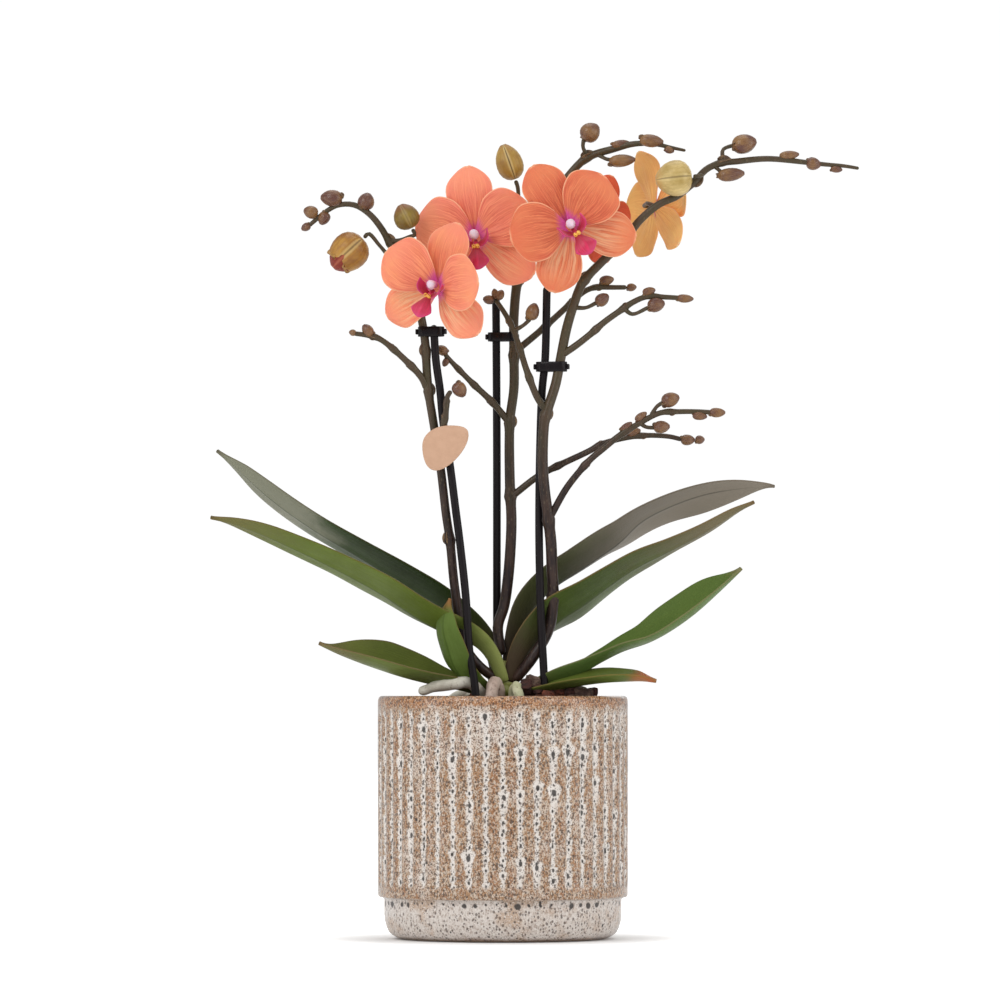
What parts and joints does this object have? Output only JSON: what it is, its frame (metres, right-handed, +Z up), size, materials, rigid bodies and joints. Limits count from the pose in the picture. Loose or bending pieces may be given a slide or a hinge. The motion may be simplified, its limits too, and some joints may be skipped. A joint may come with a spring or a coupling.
{
  "type": "potted moth orchid",
  "caption": "Moth orchid with branched flower spikes and long arching leaves, in a round ribbed glazed pot; it stands on the pot's flat base.",
  "frame": {"origin": "centre of the pot's flat underside", "axes": "+Z up along the pot's axis, -Y towards the viewer of the picture, +X to that viewer's right"},
  "size_m": [0.3107, 0.1198, 0.3919],
  "materials": {
    "glazed_ceramic": "speckled reactive glaze over ribs",
    "clear_plastic": "thin frosted plastic",
    "bark": "rough dry bark",
    "root": "spongy pale skin",
    "crown": "satin sheaths",
    "leaf": "waxy satin",
    "stem": "satin",
    "bud": "satin, faintly striped",
    "petal": "soft matte with fine veins",
    "lip": "soft satin",
    "column": "soft satin",
    "dark_plastic": "satin dark plastic",
    "tag_card": "plain beige card"
  },
  "bodies": {
    "root": {"cover_pot": "glazed_ceramic", "grow_pot": "clear_plastic", "bark": "bark", "crown": "crown", "roots": "root", "stick_centre": "dark_plastic", "stick_right": "dark_plastic", "stick_left": "dark_plastic", "spike_left": "stem", "spike_centre": "stem", "spike_right": "stem", "leaf_left_long_front": "leaf", "leaf_right_front": "leaf", "leaf_left_upright": "leaf", "leaf_right_lowest": "leaf", "leaf_left_short": "leaf", "leaf_right_middle": "leaf", "leaf_left_long_back": "leaf", "leaf_right_top": "leaf", "bud_left_olive": "bud", "bud_top_olive": "bud", "bud_right_round": "bud", "bud_opening_sepals": "bud", "bud_opening_petal": "petal", "clip_centre": "dark_plastic", "clip_right": "dark_plastic", "clip_left": "dark_plastic", "tag": "tag_card", "bloom_front_left_petals": "petal", "bloom_front_left_lip": "lip", "bloom_front_left_column": "column", "bloom_upper_middle_petals": "petal", "bloom_upper_middle_lip": "lip", "bloom_upper_middle_column": "column", "bloom_centre_right_petals": "petal", "bloom_centre_right_lip": "lip", "bloom_centre_right_column": "column", "bloom_behind_petals": "petal", "bloom_behind_lip": "lip", "bloom_behind_column": "column", "bloom_right_turned_petals": "petal", "bloom_right_turned_lip": "lip", "bloom_right_turned_column": "column"}
  },
  "joints": []
}
